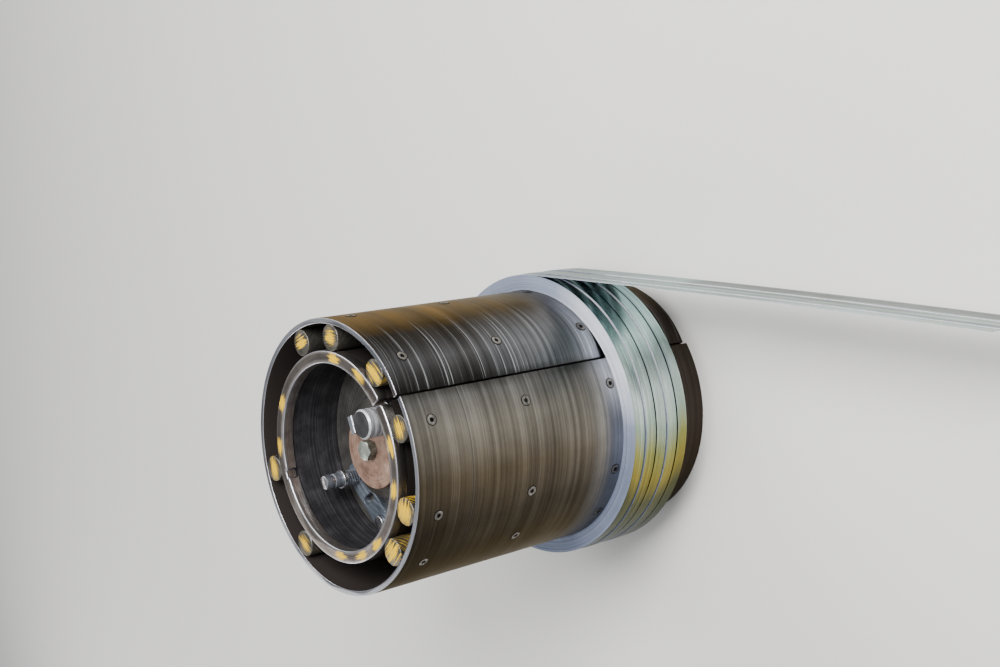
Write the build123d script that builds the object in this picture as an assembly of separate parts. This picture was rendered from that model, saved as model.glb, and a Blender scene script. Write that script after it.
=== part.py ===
from build123d import *
import os
from math import acos, cos, degrees, radians, sin, sqrt, tan

# Five slit steel coils wound on their winding drum.
#
# The drum stands on its back end: the origin is the middle of the hub's bore in the back
# face, +Z runs up the drum's axis to the open end, and the strips leave towards +X.
# Angles are seen from the open end, from +X counter-clockwise. Depths are measured down
# from the open end, and all sizes are in millimetres.

# The drum from its arbor outwards: each wall, rim or room is added to the one inside it.
# Together they bring the shell to 508 mm across, the standard bore of slit coils.
drum_length = 716.0
bore_radius = 50.0
hub_wall = 25.0
flange_rim = 20.0
stud_room = 88.0
core_wall = 12.0
bar_radius = 24.65
shell_wall = 9.5

# The shell's slot, with one lip sprung inwards
slot_angle = 37.0
slot_gap = 6.0
lip_dip = 8.0
lip_span = 25.0

# Split ring on the core tube's open end
ring_width = 23.0
ring_length = 22.0
split_angle = 42.0
split_gap = 8.0
split_rounding = 7.0
notch_angle = 203.0
notch_width = 16.0
notch_depth = 6.0

# Round bars between the core tube and the shell
bar_angles = [25.0, 54.0, 91.0, 117.0, 198.0, 241.0, 323.0, 347.0]
bar_recess = 1.0

# Hub and its two webs
hub_nose = 40.0
hub_depth = 100.0
flange_length = 30.0
back_web = 16.0
front_web = 20.0
seat_wall = 2.0

# Retaining disc and centre bolt
disc_length = 16.0
bolt_flats = 34.0
bolt_head = 18.0
bolt_radius = 11.0
bolt_grip = 28.0
bolt_corner_angle = 30.0

# Jack stud, and the link that it passes through
stud_angle = 219.0
stud_radius = 14.0
thread_radius = 15.0
thread_length = 43.0
collar_radius = 18.0
collar_length = 9.0
shank_length = 37.0
link_length = 14.0
link_clearance = 6.0
link_stud_end = 26.0
link_pin_end = 23.0
link_angle = 264.0
link_margin = 8.0
oval_width = 16.0
oval_length = 36.0
pin_radius = 8.0
pin_head_radius = 13.0
pin_head = 9.0

# Round barrel beside the hub, and the lug on the retaining disc
barrel_angle = 45.0
barrel_radius = 27.0
barrel_clearance = 2.0
barrel_depth = 11.0
lug_angle = 118.0
lug_inset = 23.0
lug_width = 34.0
lug_thickness = 14.0
lug_length = 28.0
lug_turn = 25.0
lug_bevel = 1.5

# Slit coils, each with the free end of its strip
strip_width = 25.4
strip_thickness = 1.2
coil_gap = 4.1
coil_first = 487.7
coil_builds = [32.0, 33.0, 32.2, 33.2, 32.5]
strip_end = 1000.0
strip_leave = 92.5
strip_set = 30000.0

# Clearances: between fitted pieces, and between a coil and the shell it is wound on
fit = 0.1
coil_clearance = 0.15

STANDING = (Align.CENTER, Align.CENTER, Align.MIN)
HANGING = (Align.CENTER, Align.CENTER, Align.MAX)

# What follows from those sizes
hub_radius = bore_radius + hub_wall
flange_radius = hub_radius + flange_rim
core_bore = flange_radius + stud_room
core_radius = core_bore + core_wall
bar_place = core_radius + fit + bar_radius
shell_bore = bar_place + bar_radius + fit
shell_radius = shell_bore + shell_wall
hub_top = drum_length - hub_depth
web_top = hub_top - flange_length
disc_top = hub_top + disc_length
web_seat = front_web - seat_wall
stud_place = flange_radius + link_clearance + link_stud_end
pin_place = core_bore - link_margin - link_pin_end
barrel_place = hub_radius + barrel_clearance + barrel_radius
lip_start = slot_angle + lip_span
lip_tip = shell_radius - lip_dip
lip_curve = (shell_radius**2 + lip_tip**2 - 2 * shell_radius * lip_tip * cos(radians(lip_span))) / (
    2 * (shell_radius - lip_tip * cos(radians(lip_span))))
lip_offset = shell_radius - lip_curve


def save(name, solid):
    """Write one piece as its own node."""
    export_step(solid, f"parts/{name}.step")


def polar(radius, angle):
    """A point at a distance from the axis, at an angle."""
    return radius * cos(radians(angle)), radius * sin(radians(angle))


def ring(outer, inner, start, length):
    """A plain tube along the axis."""
    return Pos(0, 0, start) * extrude(Circle(outer) - Circle(inner), length)


def snail(inset):
    """The area inside the shell's outside, less an inset, with the step at the slot."""
    turn = radians(lip_span)
    curve = lip_curve - inset
    reach = lip_offset * cos(turn) + sqrt(curve**2 - (lip_offset * sin(turn))**2)
    centre = polar(lip_offset, lip_start)
    sweep = degrees(acos((reach * cos(turn) - lip_offset) / curve))
    rolled = CenterArc((0, 0), shell_radius - inset, lip_start, 360 - lip_span)
    sprung = CenterArc(centre, curve, lip_start - sweep, sweep)
    return make_face([rolled, Line(rolled @ 1, sprung @ 0), sprung])


def lengthwise_cut(angle, gap, inner, outer, start, length):
    """What a straight slot along the axis takes out of a wall."""
    place = Rot(0, 0, angle) * Pos((inner + outer) / 2, 0, start)
    return place * Box(outer - inner, gap, length, align=STANDING)


def make_shell():
    """The rolled shell plate, open along its slot."""
    inner = lip_tip - shell_wall - slot_gap
    outer = shell_radius + slot_gap
    shell = extrude(snail(0) - snail(shell_wall), drum_length)
    return shell - lengthwise_cut(slot_angle, slot_gap, inner, outer, 0, drum_length)


def make_bar(angle):
    """A round bar between core tube and shell, relieved where the lip bears on it."""
    length = drum_length - bar_recess - back_web
    place = Rot(0, 0, angle) * Pos(bar_place, 0, back_web)
    bar = place * Cylinder(bar_radius, length, align=STANDING)
    return bar & extrude(snail(shell_wall + fit), drum_length)


def make_core_tube():
    """The tube that carries the bars, open along the same line as its ring."""
    length = drum_length - ring_length - back_web
    tube = ring(core_radius, core_bore, back_web, length)
    return tube - lengthwise_cut(split_angle, split_gap, core_bore - 1, core_radius + 1,
                                 back_web, length)


def make_front_ring():
    """The split ring on the open end, with rounded ends and a notch in its bore."""
    inner = core_radius - ring_width
    middle = core_radius - ring_width / 2
    face = Circle(core_radius) - Circle(inner)
    face -= Rot(0, 0, split_angle) * Pos(middle, 0) * Rectangle(ring_width + 2, split_gap)
    outside = [v for v in face.vertices() if sqrt(v.X**2 + v.Y**2) > middle]
    face = fillet(outside, split_rounding)
    face -= Rot(0, 0, notch_angle) * Pos(inner, 0) * Rectangle(2 * notch_depth, notch_width)
    return Pos(0, 0, drum_length - ring_length) * extrude(face, ring_length)


def make_back_web():
    """The plate that closes the back end, between the hub and the shell."""
    return extrude(snail(shell_wall + fit) - Circle(hub_radius + fit), back_web)


def make_front_web():
    """The plate inside the core tube that carries the hub's flange, the stud and the pin."""
    web = ring(core_bore - fit, hub_radius + fit, web_top - front_web, front_web)
    for place, angle, radius in ((stud_place, stud_angle, thread_radius),
                                 (pin_place, link_angle, pin_radius)):
        web -= Pos(*polar(place, angle), web_top) * Cylinder(radius + fit, web_seat, align=HANGING)
    return web


def barrel_room(start, length):
    """The round hollow that lets the barrel pass."""
    place = Pos(*polar(barrel_place, barrel_angle), start)
    return place * Cylinder(barrel_radius + fit, length, align=STANDING)


def make_hub():
    """The hub, bored from below, with a flange and a solid nose that holds the bolt."""
    hub = Cylinder(hub_radius, hub_top, align=STANDING)
    hub += Pos(0, 0, web_top) * Cylinder(flange_radius, flange_length, align=STANDING)
    hub -= Cylinder(bore_radius, hub_top - hub_nose, align=STANDING)
    hub -= Pos(0, 0, hub_top) * Cylinder(bolt_radius + fit, bolt_grip + fit, align=HANGING)
    return hub - barrel_room(web_top, flange_length)


def make_disc():
    """The retaining disc on the hub's nose."""
    return ring(hub_radius, bolt_radius + fit, hub_top, disc_length)


def make_centre_bolt():
    """The hexagon bolt that holds the disc to the hub, with its head's corners turned off."""
    head = extrude(RegularPolygon(bolt_flats / 2, 6, major_radius=False), bolt_head)
    spread = bolt_head / tan(radians(bolt_corner_angle))
    crown = Cone(bolt_flats / 2 + spread, bolt_flats / 2, bolt_head, align=STANDING)
    shank = Cylinder(bolt_radius, disc_length + bolt_grip, align=HANGING)
    return Pos(0, 0, disc_top) * ((head & crown) + shank)


def make_jack_stud():
    """The stud: its seat in the web, a threaded length, a collar and a plain shank."""
    collar = thread_length
    shank = collar + collar_length
    tip = shank + shank_length
    outline = Polyline((0, -web_seat), (thread_radius, -web_seat), (thread_radius, collar),
                       (collar_radius, collar), (collar_radius, shank), (stud_radius, shank),
                       (stud_radius, tip), (0, tip), close=True)
    stud = revolve(Plane.XZ * make_face(outline), Axis.Z)
    return Pos(*polar(stud_place, stud_angle), web_top) * stud


def make_link():
    """The flat link: a round end at the stud, one at the pin, and an oval hole between."""
    stud = Vector(*polar(stud_place, stud_angle))
    pin = Vector(*polar(pin_place, link_angle))
    plate = make_hull([*(Pos(stud) * Circle(link_stud_end)).edges(),
                       *(Pos(pin) * Circle(link_pin_end)).edges()])
    slope = Vector(1, 0).get_signed_angle(pin - stud)
    oval = Pos((stud + pin) / 2) * Rot(0, 0, slope) * SlotOverall(oval_length, oval_width)
    plate -= Pos(stud) * Circle(thread_radius + fit)
    plate -= Pos(pin) * Circle(pin_radius + fit)
    return Pos(0, 0, web_top) * extrude(plate - oval, link_length)


def make_link_pin():
    """The headed pin at the link's far end, seated in the web."""
    shank = Cylinder(pin_radius, link_length + web_seat, align=HANGING)
    pin = Cylinder(pin_head_radius, pin_head, align=STANDING) + shank
    return Pos(*polar(pin_place, link_angle), web_top + link_length) * pin


def make_barrel():
    """The round barrel that stands on the web, let into the hub's flange."""
    length = drum_length - barrel_depth - web_top
    place = Pos(*polar(barrel_place, barrel_angle), web_top)
    return place * Cylinder(barrel_radius, length, align=STANDING)


def make_lug():
    """The flat lug on the retaining disc."""
    lug = Box(lug_thickness, lug_width, lug_length, align=STANDING)
    lug = chamfer(lug.edges().group_by(Axis.Z)[-1], lug_bevel)
    return Pos(*polar(hub_radius - lug_inset, lug_angle), disc_top) * Rot(0, 0, lug_turn) * lug


def make_coil(number):
    """A slit coil with its bore, and the free end of its strip leaving as a tangent."""
    radius = shell_radius + coil_builds[number]
    apart = strip_set - radius
    under = strip_set - strip_thickness
    meet = degrees(acos((under**2 - radius**2 - apart**2) / (2 * radius * apart)))
    begin = degrees(acos((under**2 + apart**2 - radius**2) / (2 * under * apart)))
    sweep = degrees(strip_end / strip_set)
    centre = polar(-apart, strip_leave)
    rim = CenterArc((0, 0), radius, strip_leave, 360 - meet)
    inside = CenterArc(centre, under, strip_leave - begin, begin - sweep)
    outside = CenterArc(centre, strip_set, strip_leave - sweep, sweep)
    outline = make_face([rim, inside, Line(inside @ 1, outside @ 0), outside])
    start = drum_length - coil_first - strip_width - number * (strip_width + coil_gap)
    return Pos(0, 0, start) * extrude(outline - Circle(shell_radius + coil_clearance), strip_width)


os.makedirs("parts", exist_ok=True)
save("drum_shell", make_shell())
save("core_tube", make_core_tube())
save("front_ring", make_front_ring())
save("back_web", make_back_web())
save("front_web", make_front_web())
save("hub", make_hub())
save("retaining_disc", make_disc())
save("centre_bolt", make_centre_bolt())
save("jack_stud", make_jack_stud())
save("link_plate", make_link())
save("link_pin", make_link_pin())
save("jack_barrel", make_barrel())
save("drive_lug", make_lug())
for count, angle in enumerate(bar_angles, 1):
    save(f"spacer_bar_{count}", make_bar(angle))
for number in range(len(coil_builds)):
    save(f"slit_coil_{number + 1}", make_coil(number))
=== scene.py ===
# %% [markdown]
# # Slit steel coils on a winding drum
# Wide sheet is slit into narrow strips, and each strip is wound on its own, side by side with
# the others, on one steel drum. Here are five such coils on their drum. The solids come from
# the CAD model. This lesson dresses them: it rounds the edges, winds the strips turn by turn,
# adds a thread and screws, and gives each steel the finish that its making and its work left
# on it, with painted light and shade laid into several of those finishes.

# %% Load the model and keep its box
from math import cos, degrees, pi, radians, sin, tau

import bmesh
import bpy
from mathutils import Matrix, Vector


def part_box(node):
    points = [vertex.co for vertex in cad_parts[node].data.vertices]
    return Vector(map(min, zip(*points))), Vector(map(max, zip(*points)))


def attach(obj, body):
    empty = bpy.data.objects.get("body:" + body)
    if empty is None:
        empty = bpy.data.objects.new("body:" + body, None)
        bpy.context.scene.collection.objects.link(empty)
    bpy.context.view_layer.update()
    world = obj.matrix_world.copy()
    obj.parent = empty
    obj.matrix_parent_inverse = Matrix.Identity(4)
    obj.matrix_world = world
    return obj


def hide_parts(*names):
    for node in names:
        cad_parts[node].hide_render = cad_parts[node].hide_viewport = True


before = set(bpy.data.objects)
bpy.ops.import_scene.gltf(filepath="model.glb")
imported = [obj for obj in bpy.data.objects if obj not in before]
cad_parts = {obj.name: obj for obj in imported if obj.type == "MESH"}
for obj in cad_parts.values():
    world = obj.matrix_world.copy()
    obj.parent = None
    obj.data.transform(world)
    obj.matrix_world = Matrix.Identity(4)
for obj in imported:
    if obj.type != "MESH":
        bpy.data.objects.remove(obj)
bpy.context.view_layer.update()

MM = 0.001

# %% [markdown]
# ## The camera
# The photograph looks slightly down on a drum whose axis lies level. This model stands on
# its back end instead, the way a free drum keeps still, so the camera turns with it: it
# keeps the photograph's place beside the drum, and the picture's upright is the model's +Y.
# A camera is built here from its place and two directions, because three perpendicular
# columns are a rotation. The lens is set from the photograph's perspective.

# %% Camera
camera_place = Vector((1.9741, 0.6725, 2.0135))
forward = Vector((-0.74559, -0.18636, -0.63981)).normalized()
upright = Vector((-0.14143, 0.98248, -0.12136)).normalized()
right = forward.cross(upright).normalized()
turn = Matrix((right, right.cross(forward), -forward)).transposed()

camera = bpy.data.objects.new("camera", bpy.data.cameras.new("camera"))
bpy.context.collection.objects.link(camera)
camera.matrix_world = Matrix.Translation(camera_place) @ turn.to_4x4()
camera.data.sensor_width = 36.0
camera.data.lens = 48.34
bpy.context.scene.camera = camera
print("camera looks", round(degrees(forward.angle((0, 0, -1))), 1), "degrees off straight down")

# %% [markdown]
# ## Colours
# Paint charts and colour pickers give sRGB values, but shaders add light up in linear
# values. A picture editor could convert each colour, but then the script would hold numbers
# that nobody can read. So the script keeps the hex codes, and one function converts them.

# %% From a hex colour to linear light
def colour(hex_code):
    """An sRGB hex colour as linear red, green, blue and alpha."""
    values = [int(hex_code[i:i + 2], 16) / 255 for i in (0, 2, 4)]
    return [v / 12.92 if v <= 0.04045 else ((v + 0.055) / 1.055) ** 2.4 for v in values] + [1.0]


print("mid grey is", round(colour("808080")[0], 3), "in linear light")

# %% [markdown]
# ## Shader nodes
# A material is a chain of nodes, and one function adds any of them: it sets the node's
# properties, then sets or links its inputs, and fills a colour ramp if there is one. So
# each material below reads as a list of what it does. An input goes by its name, or by its
# number, counted from 0 at the top of the node. In Map Range, 0 is what is looked at, 1 and 2
# are the values that come in and 3 and 4 those that go out, 0 and 1 unless given. In Mix, 0
# is the share, 2 and 3 are its two numbers, and 6 and 7 its two colours. Mix is used in two
# ways: colour laid over colour, and colour times colour.

# %% Add a node
def feed(tree, node, name, value):
    """Give an input a number, a hex colour, a socket, or what comes out of a node."""
    if isinstance(value, str):
        value = colour(value)
    if isinstance(value, bpy.types.Node):
        value = next(socket for socket in value.outputs if socket.enabled)
    if isinstance(value, bpy.types.NodeSocket):
        tree.links.new(value, node.inputs[name])
    else:
        node.inputs[name].default_value = value


def add(tree, kind, inputs=None, stops=None, **settings):
    """Add one shader node, with its settings, inputs and ramp stops, and return it."""
    node = tree.nodes.new("ShaderNode" + kind)
    for name, value in settings.items():
        setattr(node, name, value)
    for name, value in (inputs or {}).items():
        feed(tree, node, name, value)
    if stops:
        marks = node.color_ramp.elements
        while len(marks) < len(stops):
            marks.new(1.0)
        for mark, (position, code) in zip(marks, stops):
            mark.position = position
            mark.color = colour(code)
    return node


OVER = {"data_type": "RGBA"}
TIMES = {"data_type": "RGBA", "blend_type": "MULTIPLY"}
print("two ways to mix:", OVER, TIMES)

# %% [markdown]
# ## Places round the drum
# Most of what marks this object is a matter of where a point lies about the axis: its
# angle, its distance and its height. Painted masks could say that, but they need unwrapped
# meshes and image files. Here the shader works it out from the point's own coordinates. The
# angle runs from 0 to 1 over a full turn and starts at the side that faces away from the
# strips, so a ramp over it has the same colour at both ends.

# %% Angle, distance and height in a shader
def from_axis(tree):
    """A point's distance from the axis, its level part, and its x, y and z."""
    point = add(tree, "TexCoord").outputs["Object"]
    level = add(tree, "VectorMath", {0: point, 1: (1, 1, 0)}, operation="MULTIPLY")
    reach = add(tree, "VectorMath", {0: level}, operation="LENGTH")
    return reach, level, add(tree, "SeparateXYZ", {0: point}).outputs


def whereabouts(tree):
    """The angle about the axis as a share of a turn, the distance from it, and x, y, z."""
    reach, _, parts = from_axis(tree)
    angle = add(tree, "Math", {0: parts[1], 1: parts[0]}, operation="ARCTAN2")
    return add(tree, "MapRange", {0: angle, 1: -pi, 2: pi}), reach, parts


def share_of(angle):
    """The share of a turn that the helper above gives for an angle in degrees."""
    return (angle + 180) % 360 / 360


slot_angle = 37
print("the slot lies at", round(share_of(slot_angle), 3), "of a turn")

# %% [markdown]
# ## Marks that run round an axis
# Turning, winding and strip that slides on the drum all leave marks that are circles about
# the axis. Noise becomes such marks when it is stretched: it changes slowly with x and y,
# and fast with height and with the distance from the axis. On a cylinder the marks are
# rings, and on a flat end they are turned grooves. The spacing is given in millimetres.

# %% Stretch noise round the axis
def around(tree, along, across_mm, ends=1.0):
    """Coordinates for noise whose marks are circles, across_mm millimetres apart."""
    reach, level, parts = from_axis(tree)
    both = add(tree, "Math", {0: reach, 1: ends, 2: parts[2]}, operation="MULTIPLY_ADD")
    fast = add(tree, "Math", {0: both, 1: 1 / (across_mm * MM)}, operation="MULTIPLY")
    slow = add(tree, "VectorMath", {0: level, "Scale": along}, operation="SCALE")
    sides = add(tree, "SeparateXYZ", {0: slow}).outputs
    return add(tree, "CombineXYZ", {0: sides[0], 1: sides[1], 2: fast})


spacing = 1.5
print("marks", spacing, "mm apart pass", round(1 / (spacing * MM)), "times a metre")

# %% [markdown]
# ## A worked steel
# Nearly every piece is steel, and the steels differ in tone, shine and marks, so one recipe
# makes them all. Marks round the axis are laid over plain noise, which stands for the
# patches that hands, oil and scale leave, so no face repeats itself. Both together set the
# tone and the roughness, because a rubbed spot is paler and smoother at once, and the marks
# alone make a shallow relief. Real tool marks are 0.1 to 0.5 mm apart. A pixel of this picture
# covers 2 mm, so they would not show, and each steel below draws them coarser, at 1.4 to
# 6 mm. Clean metal turns white where the eye grazes it, and a film of dirt stops that: the
# edge tint stands for it.

# %% Steel with marks over patches
# The marks' depth in millimetres, and how far roughness rises in dark spots and drops in pale.
mark_depth = 0.04
duller, smoother = 0.10, 0.06


def steel(name, dark, mid, light, roughness, marks_mm=1.5, patch_mm=60.0, share=0.6,
          depth_mm=mark_depth, anisotropic=0.4, metallic=1.0, along=1.0, ends=1.0,
          film="d8d4ce"):
    """Steel in three tones, with marks round an axis over patches, and its nodes."""
    material = bpy.data.materials.new(name)
    material.use_nodes = True
    tree = material.node_tree
    tree.nodes.clear()
    marks = add(tree, "TexNoise", {"Vector": around(tree, along, marks_mm, ends), "Scale": 1.0,
                                   "Detail": 5.0, "Roughness": 0.65})
    point = add(tree, "TexCoord").outputs["Object"]
    patch = add(tree, "TexNoise", {"Vector": point, "Scale": 1.0 / (patch_mm * MM),
                                   "Detail": 6.0, "Roughness": 0.6})
    blend = add(tree, "Mix", {0: share, 2: patch, 3: marks})
    # Noise seldom strays far from 0.5, so the tones lie close round it.
    tone = add(tree, "ValToRGB", {0: blend}, [(0.34, dark), (0.5, mid), (0.66, light)])
    gloss = add(tree, "MapRange", {0: blend, 1: 0.35, 2: 0.65, 3: roughness + duller,
                                   4: roughness - smoother})
    bump = add(tree, "Bump", {"Height": marks, "Distance": depth_mm * MM, "Strength": 0.5})
    tangent = add(tree, "Tangent", direction_type="RADIAL", axis="Z")
    shader = add(tree, "BsdfPrincipled", {
        "Base Color": tone, "Roughness": gloss, "Normal": bump, "Tangent": tangent,
        "Metallic": metallic, "Anisotropic": anisotropic, "Specular Tint": film})
    add(tree, "OutputMaterial", {0: shader})
    return material, tree, tone, shader


def dress(material, *nodes):
    """Give CAD nodes a material in all their slots."""
    for name in nodes:
        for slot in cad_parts[name].material_slots:
            slot.material = material
    print(material.name, "on", ", ".join(nodes))


print("a steel takes three tones, and its marks are", mark_depth, "mm deep")

# %% [markdown]
# ## Sizes of the drum
# Some finishes follow the shapes: the inside of a tube, its end, the middle of a bar. Their
# sizes could be typed in, but then they would stay behind when the CAD model changes. So
# they are measured on the nodes' boxes, and rounded, because a mesh of flat faces is a
# little narrower than its circle. Walls and the ring's width don't show in a box and are
# given here, in millimetres.

# %% Measure the nodes
def middle_of(node):
    """A node's middle, base and tip, in millimetres."""
    low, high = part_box(node)
    return [(low[i] + high[i]) / 2 / MM for i in (0, 1)], low[2] / MM, high[2] / MM


def radius_of(node):
    """The outer radius of a node that is round about the drum's axis, in millimetres."""
    return round(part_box(node)[1][0] / MM)


drum_length = round(middle_of("drum_shell")[2])
shell_radius, shell_wall = radius_of("drum_shell"), 9.5
tube_radius, tube_wall = radius_of("core_tube"), 12
ring_radius, ring_width = radius_of("front_ring"), 23
bar_place = round(Vector(middle_of("spacer_bar_1")[0]).length, 2)
print("shell", shell_radius, "tube", tube_radius, "ring", ring_radius, "bars at", bar_place)

# %% [markdown]
# ## Drum shell: worn plate with painted light round the drum
# The shell is mild steel plate, hot rolled, bent to a cylinder and turned. Such plate is
# grey and satin, and its fine rings draw the shine out round the drum. Years of sliding
# strip have worn it. The tones follow the angle and are partly that wear and partly painted
# light: painted highlight bands on the lip that the strip meets first and just past the slot,
# painted shade along the slot and the lip that has sunk in, and brown over the rest. A ramp
# over the angle holds these tones, because they are measured round the drum and not at random.

# %% Rolled drum plate: satin grey mild steel, worn, with painted light round the drum
plate, tree, tone, shader = steel("rolled_drum_plate", "85837f", "b2afaa", "dedbd6", 0.34,
                                  marks_mm=1.4, patch_mm=120, share=0.7, anisotropic=0.6,
                                  along=0.5, film="cfc8bc")
share, reach, parts = whereabouts(tree)
height = parts[2]
# Wear and painted light: painted highlight bands at 20 and 51 degrees, painted shade at the
# slot, 38.
wear_and_light = add(tree, "ValToRGB", {0: share}, [
    (0.00, "7e7b76"), (share_of(-100), "6e6a64"), (share_of(-60), "59534b"),
    (share_of(-35), "534e45"), (share_of(-20), "59534a"), (share_of(0), "807564"),
    (share_of(20), "b0ada6"), (share_of(32), "8a8b8d"), (share_of(38), "343434"),
    (share_of(44), "4f5053"), (share_of(51), "6a6c72"), (share_of(60), "505053"),
    (share_of(71), "3a3835"), (share_of(84), "75706a"), (1.00, "7e7b76")])
print(plate.name, "has", len(wear_and_light.color_ramp.elements), "tones round the drum")

# %% [markdown]
# ## Drum shell: wiped band with painted reflection, and painted sheen
# The last 80 mm before the coils are pale and bluish beside the brown: partly steel wiped clean
# by the strips' edges, and partly a painted reflection of the coils' pale faces, strongest from
# -45 to 70 degrees round the drum. Farther out lies a painted silver sheen, most of it beside
# the slot. A hard border would look painted, so broad noise shifts the wiped zone's edge, and
# the same noise shades the whole shell in wide rings.

# %% Wiped zone with painted reflection, painted sheen, and wide rings
# Heights above the back end, in millimetres: where the wiped zone and the painted sheen start
# and are full, and how far noise moves the wiped edge.
wipe_and_reflection_from, wipe_and_reflection_full, wander = 350, 270, 80
sheen_from, sheen_full = 520, 300
broad = add(tree, "TexNoise", {"Vector": around(tree, 0.6, 9.0), "Scale": 1.0, "Detail": 2.0})
streaky = add(tree, "Math", {0: broad, 1: wander * MM, 2: height}, operation="MULTIPLY_ADD")
low = add(tree, "MapRange", {0: streaky, 1: wipe_and_reflection_from * MM, 2: wipe_and_reflection_full * MM})
front = add(tree, "ValToRGB", {0: share}, [
    (share_of(-90), "606060"), (share_of(-45), "e8e8e8"), (share_of(70), "e8e8e8"),
    (share_of(115), "606060")])
beside = add(tree, "Math", {0: low, 1: front}, operation="MULTIPLY")
# Pale bluish zone: wiped steel and a painted reflection of the coils' faces.
wipe_and_reflection = add(tree, "Mix", {0: beside, 6: wear_and_light, 7: "dfe5f2"}, **OVER)
slide_and_sheen_sector = add(tree, "ValToRGB", {0: share}, [
    (share_of(-40), "383838"), (share_of(20), "707070"), (share_of(36), "707070"),
    (share_of(41), "ffffff"), (share_of(58), "f0f0f0"), (share_of(76), "383838")])
# Painted silver sheen, strongest beside the slot and fading out toward the mouth.
sheen_height = add(tree, "MapRange", {0: height, 1: sheen_from * MM, 2: sheen_full * MM, 4: 0.75})
painted_sheen = add(tree, "Math", {0: sheen_height, 1: slide_and_sheen_sector}, operation="MULTIPLY")
with_sheen = add(tree, "Mix", {0: painted_sheen, 6: wipe_and_reflection, 7: "c2cbdb"}, **OVER)
worn_and_lit = add(tree, "Mix", {0: 1.0, 6: tone, 7: with_sheen}, **TIMES)
bands = add(tree, "ValToRGB", {0: broad}, [(0.36, "b4b1ae"), (0.62, "ffffff")])
ringed = add(tree, "Mix", {0: 0.8, 6: worn_and_lit, 7: bands}, **TIMES)
print("the wiped zone ends about", round(wipe_and_reflection_from - wander / 2), "mm above the back end")

# %% [markdown]
# ## Drum shell: golden painted reflection and deep scratches
# A golden brown painted reflection lies on the far side of the top, strongest near the mouth.
# Noise breaks it up, in patches 45 mm high and 400 mm long. Behind the coils the shell is
# darker and browner. Over all of it run rare bright scratches where a strip's edge has dug
# in: only the highest peaks of a noise are used, so most of the shell stays free.

# %% Golden painted reflection, darker back end, and scratches
# The angles between which the golden painted reflection lies, then heights in millimetres:
# where it starts and is full, and the same for the darker band behind the coils.
golden_start, golden_end = 66, 135
golden_from, golden_full = 320, 480
dark_back_from, dark_back_full = 90, 75
sector = add(tree, "ValToRGB", {0: share}, [
    (share_of(golden_start), "000000"), (share_of(84), "ffffff"), (share_of(98), "ffffff"),
    (share_of(golden_end), "000000")])
golden_noise = add(tree, "TexNoise", {"Vector": around(tree, 2.5, 45.0), "Scale": 1.0, "Detail": 4.0})
golden_patches = add(tree, "MapRange", {0: golden_noise, 1: 0.30, 2: 0.66, 3: 0.2, 4: 0.9})
near_mouth = add(tree, "MapRange", {0: height, 1: golden_from * MM, 2: golden_full * MM,
                                    3: 0.1})
golden_strength = add(tree, "Math", {0: sector, 1: golden_patches}, operation="MULTIPLY")
golden_reflection = add(tree, "Math", {0: golden_strength, 1: near_mouth}, operation="MULTIPLY")
# Lay the golden painted reflection over the shell.
with_golden_reflection = add(tree, "Mix", {0: golden_reflection, 6: ringed, 7: "785f38"}, **OVER)
# Darker and browner behind the coils.
behind = add(tree, "MapRange", {0: height, 1: dark_back_from * MM, 2: dark_back_full * MM, 4: 0.9})
with_dark_back = add(tree, "Mix", {0: behind, 6: with_golden_reflection, 7: "2c221c"}, **OVER)
rings = add(tree, "TexNoise", {"Vector": around(tree, 1.3, 2.6), "Scale": 1.0, "Detail": 2.0})
rare = add(tree, "MapRange", {0: rings, 1: 0.60, 2: 0.80, 4: 0.75})
bare = add(tree, "Math", {0: rare, 1: slide_and_sheen_sector}, operation="MULTIPLY")
scratched = add(tree, "Mix", {0: bare, 6: with_dark_back, 7: "dde1e8"}, **OVER)
print("the grease reaches from", golden_start, "to", golden_end, "degrees round the drum")

# %% [markdown]
# ## Drum shell: end and inside
# The end of the shell was turned last and is handled most, so it is clean grey steel, and its
# rim is made paler still as a painted highlight. The inside was never turned. It keeps its mill
# scale, a dark brown oxide that is hardly metallic. Height tells the end from the rest, and
# distance from the axis tells the inside.

# %% Clean end with painted highlight, scaled inside
scale_brown = "332e2c"
shell_bore = shell_radius - shell_wall
# Both borders are narrow fades, the end's below the mouth and the inside's within the wall.
# The rim's pale grey: clean turned steel with a painted highlight.
rim = add(tree, "MapRange", {0: height, 1: (drum_length - 1.5) * MM,
                             2: (drum_length - 0.5) * MM, 4: 0.85})
ended = add(tree, "Mix", {0: rim, 6: scratched, 7: "a6a9b0"}, **OVER)
inside = add(tree, "MapRange", {0: reach, 1: (shell_bore + 0.9) * MM,
                                2: (shell_bore + 0.5) * MM})
feed(tree, shader, "Base Color",
     add(tree, "Mix", {0: inside, 6: ended, 7: scale_brown}, **OVER))
feed(tree, shader, "Metallic", add(tree, "MapRange", {0: inside, 3: 1.0, 4: 0.3}))
dress(plate, "drum_shell")

# %% [markdown]
# ## Yellow paint on the ends
# The ring and the bar ends were marked with a brush and yellow oil paint. Old brush dabs
# have ragged edges and are worn through in streaks. Each dab is a place and a size: the
# distance to the nearest place, disturbed by noise, says how much paint is left there. The
# edges fray over 7 mm, and the streaks are 1.8 mm apart, as a coarse brush leaves them.
# Paint is no metal, so the metallic value drops where it lies, and old paint is dull, so its
# specular level is low.

# %% Brush dabs of oil paint over a steel
# How far from its middle a dab is gone and is whole, in half widths, then its marks in
# millimetres.
gone_at, whole_at = 1.5, 0.3
fray_mm, brush_mm = 7.0, 1.8


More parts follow.
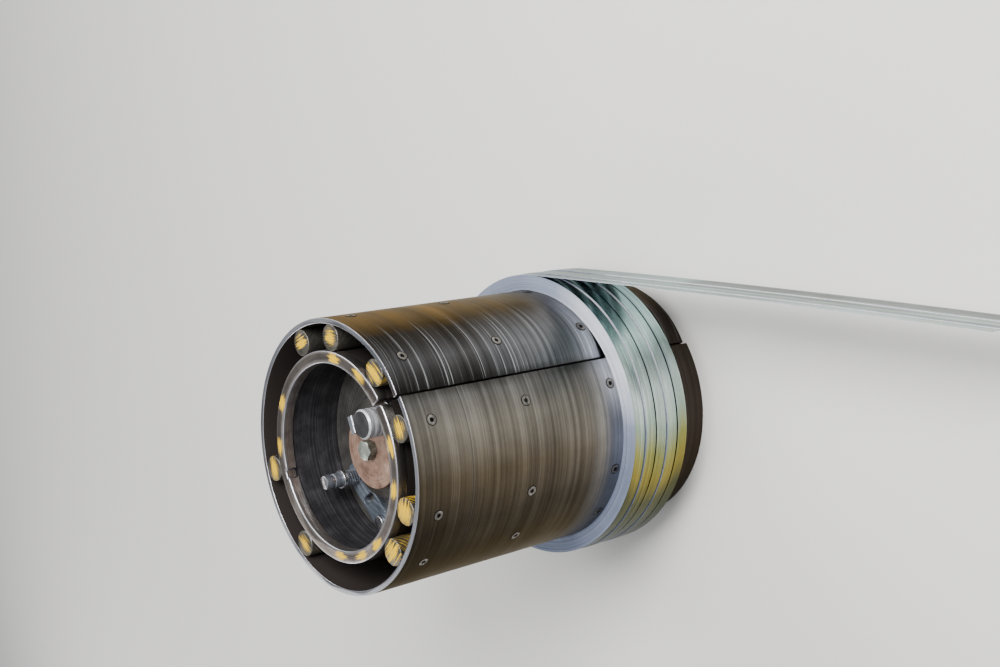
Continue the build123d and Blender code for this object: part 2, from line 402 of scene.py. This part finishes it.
def dab(tree, shader, tone, dabs, streak=0.5, code="d2a800"):
    """Paint over a steel: each dab is a radius, an angle, a width and a length along it."""
    share, reach, _ = whereabouts(tree)
    paint = None
    for radius, angle, width, length in dabs:
        off = add(tree, "Math", {0: reach, 1: radius * MM}, operation="SUBTRACT")
        across = add(tree, "Math", {0: off, 1: 2 / (width * MM)}, operation="MULTIPLY")
        gone = add(tree, "Math", {0: share, 1: share_of(angle)}, operation="SUBTRACT")
        along = add(tree, "Math", {0: gone, 1: 2 * tau * radius / length}, operation="MULTIPLY")
        spot = add(tree, "CombineXYZ", {0: across, 1: along})
        far = add(tree, "VectorMath", {0: spot}, operation="LENGTH")
        left = add(tree, "MapRange", {0: far, 1: gone_at, 2: whole_at})
        paint = add(tree, "Math", {0: left, 1: paint}, operation="MAXIMUM") if paint else left
    point = add(tree, "TexCoord").outputs["Object"]
    ragged = add(tree, "TexNoise", {"Vector": point, "Scale": 1.0 / (fray_mm * MM),
                                    "Detail": 5.0})
    scrape = add(tree, "TexNoise", {"Vector": around(tree, 14.0, brush_mm), "Scale": 1.0,
                                    "Detail": 3.0})
    deep = add(tree, "MapRange", {0: scrape, 1: 0.38, 2: 0.62})
    lost = add(tree, "Mix", {0: streak, 2: ragged, 3: deep})
    rest = add(tree, "Math", {0: paint, 1: lost}, operation="SUBTRACT")
    cover = add(tree, "MapRange", {0: rest, 1: -0.1, 2: 0.25})
    feed(tree, shader, "Base Color", add(tree, "Mix", {0: cover, 6: tone, 7: code}, **OVER))
    feed(tree, shader, "Metallic", add(tree, "Math", {0: 1.0, 1: cover}, operation="SUBTRACT"))
    feed(tree, shader, "Specular IOR Level", 0.2)


print("a dab fades out at", gone_at, "times its half width")

# %% [markdown]
# ## Ring
# The split ring on the tube's end is turned mild steel under a thin brown film of oil. A ramp
# over its width lightens its two edges, partly because hands and tools keep them bright and
# partly as a painted highlight. Nine of the paint dabs lie on it.

# %% Scuffed ring: turned mild steel, brown between two rubbed edges with painted highlight
ring_steel, tree, tone, shader = steel("scuffed_ring_steel", "7c7773", "a8a3a0", "d0ccc9",
                                       0.38, 2.5, 25)
reach, *_ = from_axis(tree)
width = add(tree, "MapRange", {0: reach, 1: (ring_radius - ring_width) * MM,
                               2: ring_radius * MM})
# Both edges of the ring lightened: rubbed steel with a painted highlight.
rubbed_and_highlight = add(tree, "ValToRGB", {0: width}, [
    (0.06, "ffffff"), (0.20, "fffaf6"), (0.34, "b0aaa6"), (0.76, "a69f9a"),
    (0.88, "e8e2de"), (0.97, "ffffff")])
brown = add(tree, "Mix", {0: 0.95, 6: tone, 7: rubbed_and_highlight}, **TIMES)
dabs_from_axis = ring_radius - 11
dab_size = 18, 38
dab_angles = -85, -63, -45, -6, 18, 63, 88, 158, 185
dab(tree, shader, brown, [(dabs_from_axis, angle, *dab_size) for angle in dab_angles])
dress(ring_steel, "front_ring")

# %% [markdown]
# ## Bars
# Eight round bars between tube and shell keep the drum round. They are hot-rolled stock,
# and their sawn ends are dull and dark, with a yellow dab on each. The dabs differ in size,
# so each bar's angle carries its own width and length.

# %% Dull bars: hot-rolled round stock, dark and rough at its sawn ends
bars = {25: (28, 36), 54: (32, 44), 91: (30, 32), 117: (28, 34),
        198: (26, 44), 241: (24, 40), 323: (38, 46), 347: (36, 50)}
bar_steel, tree, tone, shader = steel("dull_bar_steel", "3d3b3a", "69665f", "97928b", 0.45,
                                      2.0, 20)
dab(tree, shader, tone, [(bar_place, angle, *size) for angle, size in bars.items()],
    streak=0.65)
bar_nodes = [f"spacer_bar_{number + 1}" for number in range(len(bars))]
dress(bar_steel, *bar_nodes)

# %% [markdown]
# ## Tube and webs
# The inner tube and the back web are plain tube and plate that nobody cleans. Oil and dust
# lie on them, and their tones are darkened further as painted shade for the drum's inside, so
# they are dark, nearly matt, and less than fully metallic. The tube is browner on the outside,
# where it kept its scale, and the distance from the axis tells that side: the two tones meet
# in the middle of the wall.

# %% Grimy tube steel: dark, dull, with oily dust on it and painted shade
# Dark tones: oil and dust, and painted shade for the drum's inside.
grime_and_shade, tree, tone, shader = steel("grimy_shaded_tube_steel", "202022", "3a393c", "646367", 0.48, 4.0,
                                  40, metallic=0.6)
reach, *_ = from_axis(tree)
in_wall = tube_radius - tube_wall / 2
outer = add(tree, "MapRange", {0: reach, 1: (in_wall - 0.1) * MM, 2: (in_wall + 0.1) * MM})
feed(tree, shader, "Base Color", add(tree, "Mix", {0: outer, 6: tone, 7: scale_brown}, **OVER))
dress(grime_and_shade, "core_tube", "back_web")

# %% [markdown]
# ## Front web
# The web behind the mouth was cut from plate and faced on a lathe, so it is flat and grey,
# and its turned rings still show through a little dirt. It is the same recipe with lighter
# tones and finer marks than the tube's, and those tones are darkened as painted shade for its
# depth inside the drum.

# %% Faced web steel: plate turned flat, grey, rings under a little dirt, with painted shade
shaded_web_steel, *_ = steel("faced_shaded_web_steel", "403e3c", "6a6764", "98948f", 0.42, 2.5, 50,
                      metallic=0.8)
dress(shaded_web_steel, "front_web")

# %% [markdown]
# ## Hub, disc and bolt
# These three sit at the drum's middle, and each was finished another way. The hub is
# turned medium-carbon steel, never painted: clean satin rings. The disc is plate with a thin
# brown rust, which is matt, pinkish and only half metallic. The bolt is zinc plated: pale,
# slightly green and soft in its shine, with small patches where the plating is worn. Its
# flats, where the wrench grips, have lost most of the plating, and they are painted darker
# than its top as shade on the head's sides.

# %% Turned hub, thin rust, worn zinc
# Turned steel gives the eye even, satin rings.
turned, *_ = steel("turned_hub_steel", "4a4848", "7d7974", "aaa6a1", 0.36, 1.5)
# Rust has no direction, so nothing draws the shine out, and its patches are 30 mm across.
rusty, *_ = steel("thin_rust_on_steel", "604a3f", "957868", "b89d8d", 0.5, 5.0, 30, 0.3,
                  anisotropic=0.0, metallic=0.5)
# Plating follows the forged head under it: 9 mm patches, and no turned marks to speak of.
zinc, *_ = steel("worn_zinc_plate", "9aa196", "bcc2b6", "eceee6", 0.34, 2.0, 9, 0.3,
                 anisotropic=0.0, metallic=0.9)
# The same head on its flats: plating mostly gone, duller, and darker as painted shade.
worn_shaded_zinc, *_ = steel("worn_shaded_zinc_flats", "4c504c", "747870", "a6aaa2", 0.46, 3.0, 9, 0.3,
                      anisotropic=0.0, metallic=0.8)
print("made", turned.name, rusty.name, zinc.name, worn_shaded_zinc.name)

# %% [markdown]
# ## Steels that move in use
# The stud, the pin and the barrel slide or turn, and so they stay bright: bare turned steel
# with sharp highlights. Grease lies on the same steel as a film that is no metal, and makes
# it a duller blue-grey. The link was heated and oiled, which leaves a thin blue-grey oxide
# with a soft gloss. The lug is bar, filed to fit. And every edge that hands and tools touch
# is rubbed to the palest steel of all.

# %% Bare, greasy, blued, filed and rubbed steel
# Bare turned steel: pale and sharp in its shine.
bright, *_ = steel("bare_turned_steel", "7c7c80", "b4b4b8", "ececee", 0.26, 1.5)
# The same steel under grease: darker, bluish and blurred in its shine, with 15 mm smears.
greasy, *_ = steel("greasy_turned_steel", "3a3c42", "666a72", "a0a4ae", 0.46, 1.5, 15,
                   metallic=0.6)
# Heat-blued and oiled flat bar: cool grey, its marks broad and faint.
blued, *_ = steel("oiled_blued_steel", "40464f", "6c747f", "a2abb8", 0.34, 6.0,
                  metallic=0.7)
# A filed edge, polished by hands: nearly white.
rubbed, *_ = steel("rubbed_steel_edge", "96949a", "c2c0c4", "f0eff2", 0.3, 2.0, 30)
# A filed flat bar: its marks run all ways, so they are broad, shallow and without direction.
filed, *_ = steel("filed_bar_steel", "80848c", "a8acb4", "d4d8de", 0.42, 6.0, 12, 0.3,
                  depth_mm=0.01, anisotropic=0.0)
dress(filed, "drive_lug")

# %% [markdown]
# ## Rounded edges
# A CAD edge is perfectly sharp, but a real one is filed or turned off by a millimetre or
# two, and it catches the light. One helper turns mesh code into an object, smooth where it is
# round and crisp where it has an edge. It also turns all faces outwards, except on a mesh
# that isn't closed, which has no inside: there they stay as they were made. The other helper
# says that a piece rides on the part's one body and stands for a CAD node.

# %% Make an object from a mesh, and put it in a node's place
crisp_angle = 30


def finished(name, mesh, sharp=crisp_angle, closed=True):
    """Turn a bmesh into a linked object, smooth where it is round and crisp at its edges."""
    if closed:
        bmesh.ops.recalc_face_normals(mesh, faces=mesh.faces)
    data = bpy.data.meshes.new(name)
    mesh.to_mesh(data)
    mesh.free()
    for face in data.polygons:
        face.use_smooth = True
    data.set_sharp_from_angle(angle=radians(sharp))
    piece = bpy.data.objects.new(name, data)
    bpy.context.collection.objects.link(piece)
    return piece


def stand_for(piece, node):
    """The piece rides on the one body and takes a node's place."""
    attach(piece, "root")
    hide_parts(node)


print("edges above", crisp_angle, "degrees stay crisp")

# %% [markdown]
# ## Round a node's edges
# A Bevel modifier could round the edges, but the triangles of a CAD mesh spoil its corners.
# So each piece is copied, the flat faces of its mesh are joined up again, and then the edges
# sharper than 30 degrees are rounded in two steps. Two steps leave an edge of 30 degrees
# between them on a right angle, so these pieces stay smooth up to 40. The new narrow faces
# get a steel of their own, since edges are what hands and tools rub first.

# %% Copy a node and round its sharp edges
# Points nearer than this are one point, and faces within this angle are one flat face.
weld_mm = 0.001
flat_angle = 0.5
round_steps, smooth_to = 2, 40


def rounded(node, round_mm, material, edge):
    """A copy of a CAD node with rounded edges, in the node's place."""
    mesh = bmesh.new()
    mesh.from_mesh(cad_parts[node].data)
    bmesh.ops.remove_doubles(mesh, verts=mesh.verts, dist=weld_mm * MM)
    bmesh.ops.dissolve_limit(mesh, angle_limit=radians(flat_angle), verts=mesh.verts,
                             edges=mesh.edges)
    for face in mesh.faces:
        face.material_index = 0
    sharp = [e for e in mesh.edges
             if len(e.link_faces) == 2 and e.calc_face_angle() > radians(crisp_angle)]
    bmesh.ops.bevel(mesh, geom=sharp, offset=round_mm * MM, segments=round_steps, profile=0.5,
                    affect="EDGES", clamp_overlap=True, material=1)
    piece = finished(f"{node}_rounded", mesh, smooth_to)
    piece.data.materials.append(material)
    piece.data.materials.append(edge)
    stand_for(piece, node)
    print(node, "has", len(sharp), "sharp edges")
    return piece


print("an edge is rounded in", round_steps, "steps")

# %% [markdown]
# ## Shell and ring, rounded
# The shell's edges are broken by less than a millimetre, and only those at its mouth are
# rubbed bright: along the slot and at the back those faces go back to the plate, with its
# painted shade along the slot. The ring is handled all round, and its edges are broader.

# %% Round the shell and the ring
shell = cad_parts["drum_shell"]
drum = rounded("drum_shell", 0.9, plate, rubbed)
mouth_depth = 6
for face in drum.data.polygons:
    if face.center.z < (drum_length - mouth_depth) * MM:
        face.material_index = 0
rounded("front_ring", 1.8, ring_steel, rubbed)

# %% [markdown]
# ## Hub, disc, bolt, link and bars, rounded
# The same helper rounds the pieces round the hub and the eight bars. The bolt's head is
# forged, so its edges are finest, and its flats are duller than its top and painted darker as
# shade. The bars' ends were only knocked over, and stay as dull as the bars.

# %% Round the small pieces
rounded("hub", 1.8, turned, rubbed)
rounded("retaining_disc", 1.8, rusty, rusty)
bolt = rounded("centre_bolt", 0.5, zinc, zinc)
bolt.data.materials.append(worn_shaded_zinc)
# The flats are the unrounded faces whose normals hardly rise.
little_rise = 0.3
# The flats take the darker zinc: worn plating and painted shade on the head's sides.
for face in bolt.data.polygons:
    if abs(face.normal.z) < little_rise and not face.material_index:
        face.material_index = 2
rounded("link_plate", 1.0, blued, rubbed)
rounded("link_pin", 1.5, bright, rubbed)
for node in bar_nodes:
    rounded(node, 1.5, bar_steel, bar_steel)

# %% [markdown]
# ## Turned pieces
# A lathe turns a profile about an axis, and so does this helper: it carries a list of
# radii and heights round in small steps. Blender's Screw modifier does the same, but here
# each piece is one short list of numbers. A thread is the same turning with one change: the
# profile climbs by one pitch each turn, so its height shifts with the angle. A plain turning
# meets itself after a turn and a thread meets its next turn, and both are welded there.

# %% A lathe in mesh code
lathe_steps = 96


def lathe(name, profile, centre, material, climb=0.0):
    """Turn a profile of radii and heights, in millimetres, about an upright axis."""
    mesh = bmesh.new()
    rows = []
    for radius, height in profile:
        row = []
        for i in range(lathe_steps + 1):
            angle = tau * i / lathe_steps
            x, y = centre[0] + radius * cos(angle), centre[1] + radius * sin(angle)
            z = height + climb * i / lathe_steps
            row.append(mesh.verts.new((x * MM, y * MM, z * MM)))
        rows.append(row)
    for low, high in zip(rows, rows[1:]):
        for i in range(lathe_steps):
            mesh.faces.new((low[i], low[i + 1], high[i + 1], high[i]))
    if not climb:
        mesh.faces.new(rows[0][:-1])
        mesh.faces.new(rows[-1][:-1])
    bmesh.ops.remove_doubles(mesh, verts=mesh.verts, dist=weld_mm * MM)
    piece = finished(name, mesh, closed=not climb)
    piece.data.materials.append(material)
    return piece


print("one turn is made in", lathe_steps, "steps")

# %% [markdown]
# ## Jack stud
# The stud runs out of the web: thread, collar, then a plain shank with one groove near its
# tip. It was turned from bar, so a profile gives it whole. The collar, the groove and the tip
# stay bright, and the shank between them is under grease.

# %% Turn the stud
axis, base, tip = middle_of("jack_stud")
# Radii of the shank, of the core under the thread, and of the thread's crests and grooves.
shank, core, crest, root = 14, 12.9, 15.0, 13.0
collar, collar_radius, collar_length = tip - 46, 18, 9
shank_foot = collar + collar_length
groove, groove_floor = tip - 21, 12.2
stud = lathe("stud_body", [
    (core, base), (core, collar - 2), (crest, collar - 1), (crest, collar),
    (collar_radius - 0.8, collar), (collar_radius, collar + 0.8),
    (collar_radius, shank_foot - 0.8), (collar_radius - 0.8, shank_foot), (shank, shank_foot),
    (shank, groove), (groove_floor, groove + 1), (groove_floor, groove + 5),
    (shank, groove + 6), (shank, tip - 3), (13.2, tip - 1.2), (11, tip)], axis, bright)
stud.data.materials.append(greasy)
for face in stud.data.polygons:
    height = face.center.z / MM
    face.material_index = int(shank_foot + 0.5 < height < groove + 0.5 or
                              groove + 6 < height < tip - 3.5)
stand_for(stud, "jack_stud")
print("stud stands", round(tip - base), "mm high")

# %% [markdown]
# ## The stud's thread
# A screw that lifts a load has a coarse thread with flat crests, here five to the inch, a
# pitch of 5.08 mm. The profile is a crest, a flank, a groove and a flank, between radii of
# 15 and 13 mm, and it is repeated once a pitch. Grease fills the grooves and the crests stay
# bright, so the two get different steels. The thread starts inside the web and ends inside
# the collar, so neither end shows.

# %% Turn the thread
pitch, turns = 5.08, 10
foot = middle_of("front_web")[2] - pitch
ridge = [(crest, 0.0), (crest, 1.4), (root, 2.3), (root, 4.1), (crest, 5.0)]
climbing = [(r, foot + n * pitch + h) for n in range(turns) for r, h in ridge]
thread = lathe("stud_thread", climbing, axis, greasy, climb=pitch)
thread.data.materials.append(bright)
near_crest = crest - 0.2
for face in thread.data.polygons:
    face.material_index = int((face.center.xy / MM - Vector(axis)).length > near_crest)
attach(thread, "root")
print("thread of", turns, "turns")

# %% [markdown]
# ## Jack barrel
# The barrel beside the hub is a round piece with three shallow oil grooves near its free
# end. Its side slides in use: bare steel, dulled by scuffs to a broad, soft shine, and its pale,
# half-metallic tone is partly a painted highlight spread over that side. Its end face takes
# no wear, and carries the tube's grime and painted shade.

# %% Turn the barrel
axis, base, tip = middle_of("jack_barrel")
side, hollow, bevel = 27, 26.5, 3
groove_starts = 38, 26, 14
grooves = [(r, tip - d) for start in groove_starts for r, d in
           ((side, start), (hollow, start - 1), (hollow, start - 3), (side, start - 4))]
# Scuffed bare steel: pale and half metallic, for its small scratches and as a painted highlight.
scuffed_and_highlight, *_ = steel("scuffed_highlight_barrel_steel", "8c8c90", "c0c0c4", "f2f2f4", 0.38, 1.5, 20,
                    metallic=0.5)
barrel = lathe("barrel_body", [(side, base), *grooves, (side, tip - bevel), (side - bevel, tip)],
               axis, scuffed_and_highlight)
barrel.data.materials.append(grime_and_shade)
facing_up = 0.9
for face in barrel.data.polygons:
    face.material_index = int(face.normal.z > facing_up)
stand_for(barrel, "jack_barrel")
print("barrel stands", round(tip - base), "mm high with", len(groove_starts), "grooves")

# %% [markdown]
# ## Countersunk screws
# Three rows of screws hold the shell to the bars. They are too small for the CAD solids,
# so they are set here. Each head is a low disc with a hexagon socket, and a dark ring
# round it is the countersink's shadow. It is made as rings of points joined by faces, and
# the socket's ring is pulled into a hexagon. The head starts a millimetre inside the shell,
# so that its flat rim leaves no gap over the round plate. The plate has no hole here, so the
# socket's floor lies just above it, and its black makes it look deep.

# %% One socket head
screw_steps = 48
head_radius = 9.1
# Radius and height above the shell in millimetres, and whether the ring is a hexagon.
screw_profile = [(10.6, -1.0), (10.6, 0.0), (10.4, 0.25), (9.3, 0.22), (head_radius, 0.45),
                 (8.7, 0.6), (4.6, 0.55, True), (4.4, 0.08, True)]
# The profile's dark steps: the countersink up to the head, and the socket's wall.
dark_steps = 0, 1, 2, 3, 6


def screw_ring(mesh, spot, sides, radius, rise, corners=False):
    """A ring of points round a spot, as a circle or as a hexagon."""
    side, up, out = sides
    row = []
    for i in range(screw_steps):
        angle = tau * i / screw_steps
        size = radius
        if corners:
            size = radius * cos(pi / 6) / cos((angle % (pi / 3)) - pi / 6)
        offset = side * (size * cos(angle)) + up * (size * sin(angle)) + out * rise
        row.append(mesh.verts.new(spot + offset * MM))
    return row


def screw(mesh, spot, out):
    """One socket head on a spot of the shell, with the countersink round it."""
    up = Vector((0, 0, 1))
    sides = out.cross(up), up, out
    rows = [screw_ring(mesh, spot, sides, *ring) for ring in screw_profile]
    for number, (a, b) in enumerate(zip(rows, rows[1:])):
        for i in range(screw_steps):
            face = mesh.faces.new((a[i - 1], a[i], b[i], b[i - 1]))
            face.material_index = int(number in dark_steps)
    mesh.faces.new(rows[-1]).material_index = 1
    mesh.faces.new(rows[0]).material_index = 1


print("a head is", 2 * head_radius, "mm across")

# %% [markdown]
# ## The screws' places
# A screw sits over each bar, in three rows. The shell is a true cylinder except on its
# sprung lip, so the place isn't worked out: a ray from outside finds where the shell lies,
# and the heads on the lip sink in with it. A ray meets only what is shown, so the hidden CAD
# shell is shown while the rays run. Screws of this kind are hard steel, blackened in hot oil,
# and the strip has rubbed their tops to grey.

# %% Set the shell's screws
screw_heights = 243, 456, 669
ray_start_m = 0.4
shell.hide_viewport = False
bpy.context.view_layer.update()
mesh = bmesh.new()
found = 0
for angle in bars:
    for height in screw_heights:
        out = Vector((cos(radians(angle)), sin(radians(angle)), 0))
        outside = out * ray_start_m + Vector((0, 0, height * MM))
        hit, spot, normal, _ = shell.ray_cast(outside, -out)
        screw(mesh, spot, normal)
        found += hit
shell.hide_viewport = True
heads = finished("shell_screws", mesh)
# Rubbed screw steel: dull grey with 8 mm patches, as large as the head itself.
screw_head, *_ = steel("worn_screw_head", "403e3b", "686561", "a09d98", 0.38, 2.0, 8)
# The countersink's and the socket's painted shadow: matt, and nearly black.
black, *_ = steel("black_countersink", "0c0c0d", "181819", "242426", 0.6, 3.0)
heads.data.materials.append(screw_head)
heads.data.materials.append(black)
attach(heads, "root")
print(found, "screws on the shell")

# %% [markdown]
# ## The line of one strip
# Each coil is one strip wound on itself, so its ends show the edge of every turn. The CAD
# solid is a plain ring, and here a real spiral takes its place: it grows by one thickness
# each turn, and then leaves as the free end, on a wide arc that is its sag. A hair of air
# between the turns draws the fine dark circles, and two slow waves in height, which don't
# keep time with the turns, make them uneven. All lengths are in millimetres: strip_set is
# the radius of the sag's arc, and steps and tail count points on a turn and on a free end.

# %% Work out the line of one strip
thickness = 1.2
air = 0.12
bore_room = 0.4
leave = radians(92.5)
strip_set = 30000.0
strip_end = 1000.0
builds = [32.0, 33.0, 32.2, 33.2, 32.5]
steps = 120
tail = 40


def turns_in(build):
    """How many turns of the strip a coil's build holds."""
    return int((build - bore_room) / thickness)


def strip_line(build, phase):
    """Points along one strip: outer x and y, inner x and y, and a shift in height."""
    rim = shell_radius + build
    last = turns_in(build) * steps
    line = []
    for i in range(last + 1):
        back = last - i
        outer = rim - thickness * back / steps
        angle = leave + tau * back / steps
        shift = 0.10 * sin(angle * 0.37 + phase) + 0.06 * sin(angle * 1.31 + 2 * phase)
        out = Vector((cos(angle), sin(angle)))
        line.append((out * outer, out * (outer - thickness + air), shift))
    centre = Vector((cos(leave), sin(leave))) * (rim - strip_set)
    for i in range(1, tail + 1):
        angle = leave - strip_end / strip_set * i / tail
        out = Vector((cos(angle), sin(angle)))
        line.append((centre + out * strip_set, centre + out * (strip_set - thickness + air), 0))
    return line


print("each coil has", [turns_in(build) for build in builds], "turns")

# %% [markdown]
# ## From a line to a ribbon
# A ribbon is the line with four corners at each point, joined by four faces a step. A curve
# with a bevel would do it too, but it twists on a spiral and gives no hold on single faces.
# Here each face gets its finish as it is made: strip, bright edge or oily edge. The edges
# in the narrow gaps between the coils are wet with oil and painted dark as shade, except where
# the outermost turns stand proud of their neighbour and catch the light. The strip is a hair
# narrower than its CAD ring, so that its waves stay within the ring.

# %% Wind a ribbon
wave_room = 0.2
phase_apart = 1.7
proud_turns = 5
# Places in the ribbon's list of materials.
strip_side, bright_edge, shaded_wet_edge = 0, 1, 2


def wind(number):
    """The ribbon of one coil: strip faces, bright edges, and oily edges painted dark as shade.
    """
    low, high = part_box(f"slit_coil_{number + 1}")
    mesh = bmesh.new()
    rows = []
    for outer, inner, shift in strip_line(builds[number], number * phase_apart):
        up, down = high[2] + (shift - wave_room) * MM, low[2] + (shift + wave_room) * MM
        corners = [(outer, up), (outer, down), (inner, down), (inner, up)]
        rows.append([mesh.verts.new((p.x * MM, p.y * MM, z)) for p, z in corners])
    proud = len(rows) - tail - proud_turns * steps
    for count, (a, b) in enumerate(zip(rows, rows[1:])):
        open_edge = number == 0 or (number % 2 and count > proud)
        # Edges in the narrow gaps take the oily edge, painted dark as shade.
        top_edge = bright_edge if open_edge else shaded_wet_edge
        for i, finish in enumerate((strip_side, shaded_wet_edge, strip_side, top_edge)):
            mesh.faces.new((a[i], b[i], b[i - 3], a[i - 3])).material_index = finish
    mesh.faces.new(rows[0])
    mesh.faces.new(reversed(rows[-1]))
    return finished(f"wound_strip_{number + 1}", mesh)


print("the outermost", proud_turns, "turns of coils 2 and 4 have bright edges")

# %% [markdown]
# ## Oiled cold-rolled strip
# Cold-rolled steel is the brightest piece here: smooth and pale, with faint lines along the
# strip from the rolls. The lines follow the height, since that is across the strip, both on
# the coil and on the free end. The real ones are finer than a millimetre, and they are drawn
# 2.4 mm apart so that they show. Strip is shipped oiled, and a ramp over the angle tints it,
# partly with the green-grey film itself and partly with painted light: a painted highlight at
# 20 degrees, painted shade under the free ends at 74, a yellow painted reflection from -13 to
# -4, and darker tones toward -60. Slow noise makes their borders wander.

# %% Cold-rolled strip: smooth, pale and cool, under a film of oil, with painted light
strip_steel, tree, tone, shader = steel("cold_rolled_strip", "a2acaa", "c9d1cf", "f4f8f7",
                                        0.24, 2.4, 60, 0.75, anisotropic=0.5, ends=0.0,
                                        film="dcdfdc")
share, _, parts = whereabouts(tree)
wave = add(tree, "TexNoise", {"Vector": around(tree, 1.5, 60.0, 0.0), "Scale": 1.0,
                              "Detail": 1.0})
shift = add(tree, "MapRange", {0: wave, 1: 0.3, 2: 0.7, 3: -0.03, 4: 0.03})
wavy = add(tree, "Math", {0: share, 1: shift}, operation="ADD")
# Oil tint and painted light: highlight at 20, shade at 74, yellow reflection near -10 degrees.
oil_and_light = add(tree, "ValToRGB", {0: wavy}, [
    (0.00, "868a80"), (share_of(-100), "6c6c5e"), (share_of(-60), "33312a"),
    (share_of(-42), "44422f"), (share_of(-25), "66613f"), (share_of(-13), "ac9648"),
    (share_of(-4), "afa964"), (share_of(6), "b4c2b3"), (share_of(20), "f4ffff"),
    (share_of(31), "9fb0ae"), (share_of(40), "c0d8d8"), (share_of(58), "92aeb4"),
    (share_of(74), "6a868c"), (share_of(110), "869696"), (1.00, "868a80")])
oiled_and_lit = add(tree, "Mix", {0: 1.0, 6: tone, 7: oil_and_light}, **TIMES)
print(strip_steel.name, "has", len(oil_and_light.color_ramp.elements), "tints of oil")

# %% [markdown]
# ## Lines on the free ends
# The free ends are seen almost edge on, and there the rolls' lines and the oil between them
# read as long dark streaks. They are laid on only where the strips have left the coil, which
# x tells, and at 20 mm they are about one to a strip.

# %% Dark streaks along the free ends
streak_mm = 20.0
free_from, free_full = 290, 340
drawn = add(tree, "TexNoise", {"Vector": around(tree, 0.8, streak_mm, 0.0), "Scale": 1.0,
                               "Detail": 3.0})
streaks = add(tree, "ValToRGB", {0: drawn}, [
    (0.40, "2e3238"), (0.50, "90969d"), (0.58, "ffffff")])
off_coil = add(tree, "MapRange", {0: parts[0], 1: free_from * MM, 2: free_full * MM, 4: 0.9})
feed(tree, shader, "Base Color",
     add(tree, "Mix", {0: off_coil, 6: oiled_and_lit, 7: streaks}, **TIMES))
print("streaks on", round(strip_end), "mm of free strip")

# %% [markdown]
# ## Slit edges
# Slitting shears the strip between round knives, so its edges are bright and a little rough:
# a soft lavender-grey shine over a whole coil's end. A ramp over the angle lays a painted
# highlight on them from 24 to 58 degrees and makes them darker elsewhere. In the gaps between
# the coils the same edges are wet with oil, and the narrow gap lets in so little light that
# they are painted a deep blue-black as shade.

# %% Sheared strip edges: painted highlight, and oily with painted shade in the gaps
slit_edge, tree, tone, shader = steel("slit_strip_edge", "acb0bb", "d6dae4", "fbfcff", 0.45,
                                      2.4, 80, 0.8, anisotropic=0.6, metallic=0.5)
share, *_ = whereabouts(tree)
# Painted highlight from 24 to 58 degrees, darker elsewhere round the coil's end.
painted_edge_light = add(tree, "ValToRGB", {0: share}, [
    (0.00, "b0b6c4"), (share_of(-70), "9aa4b8"), (share_of(-20), "aeb8ce"),
    (share_of(4), "c4cce0"), (share_of(24), "ffffff"), (share_of(58), "ffffff"),
    (share_of(78), "aeb6c6"), (share_of(100), "9aa2b2"), (1.00, "b0b6c4")])
feed(tree, shader, "Base Color",
     add(tree, "Mix", {0: 0.95, 6: tone, 7: painted_edge_light}, **TIMES))
# Oily sheared edge in the gaps: dark blue and glossy, a painted shade.
oily_shaded_edge, *_ = steel("oily_shaded_strip_edge", "10131f", "20263c", "3c4666", 0.4, 2.4, 40)
print("made", slit_edge.name, oily_shaded_edge.name)

# %% [markdown]
# ## Wind the five coils
# Each coil differs a little in its build and its waves, as five strips of one sheet do, so
# they are wound one by one. Each ribbon then takes its CAD ring's place.

# %% Wind all the strips
for number in range(len(builds)):
    strip = wind(number)
    for material in (strip_steel, slit_edge, oily_shaded_edge):
        strip.data.materials.append(material)
    stand_for(strip, f"slit_coil_{number + 1}")
print("each strip has about", len(strip.data.polygons), "faces")

# %% [markdown]
# ## Floor
# A plain pale floor adds no pattern to what the steel mirrors. It is wide, because the turned
# camera sees it as a wall behind the drum, and it lies a hair below the drum's end, so that
# the two don't flicker through each other.

# %% Floor with matt paint
half_side = 12.0
floor_drop = 0.3
mesh = bmesh.new()
bmesh.ops.create_grid(mesh, x_segments=1, y_segments=1, size=half_side)
floor = finished("floor", mesh)
floor.location.z = -floor_drop * MM
paint = bpy.data.materials.new("matt_floor_paint")
paint.use_nodes = True
surface = paint.node_tree.nodes["Principled BSDF"]
feed(paint.node_tree, surface, "Base Color", "e4e2dd")
feed(paint.node_tree, surface, "Roughness", 0.7)
floor.data.materials.append(paint)
print("floor of", [round(side) for side in floor.dimensions.xy], "m")

# %% [markdown]
# ## Light
# Metal shows what it mirrors, so the lamps are large and soft. The main lamp stands a little
# to the strips' side of the camera, so its glow lies along the drum near the slot. One small
# lamp high over the mouth lights the drum's inside, and a faint grey sky fills what the lamps
# leave.

# %% Sky and lamps
world = bpy.data.worlds.new("studio")
bpy.context.scene.world = world
world.use_nodes = True
sky = world.node_tree.nodes["Background"]
feed(world.node_tree, sky, "Color", "c8ccd2")
feed(world.node_tree, sky, "Strength", 0.55)

# All lamps face the drum's middle. Each has a name, a place and a width in metres, and watts.
aim = Vector((0, 0, 0.35))
lamps = [("key", (1.9, 2.3, 3.2), 2.2, 260), ("fill", (3.4, -2.4, 2.2), 2.4, 24),
         ("back", (-2.4, 2.2, 3.4), 2.6, 90), ("side", (-2.6, -2.6, 1.8), 2.4, 50),
         ("mouth", (0.5, 0.8, 3.6), 1.4, 60)]
for name, spot, size, watts in lamps:
    data = bpy.data.lights.new(name, "AREA")
    data.shape = "DISK"
    data.size = size
    data.energy = watts
    lamp = bpy.data.objects.new(name, data)
    bpy.context.collection.objects.link(lamp)
    lamp.location = spot
    lamp.rotation_euler = (aim - lamp.location).to_track_quat("-Z", "Y").to_euler()
print(len(lamps), "lamps")
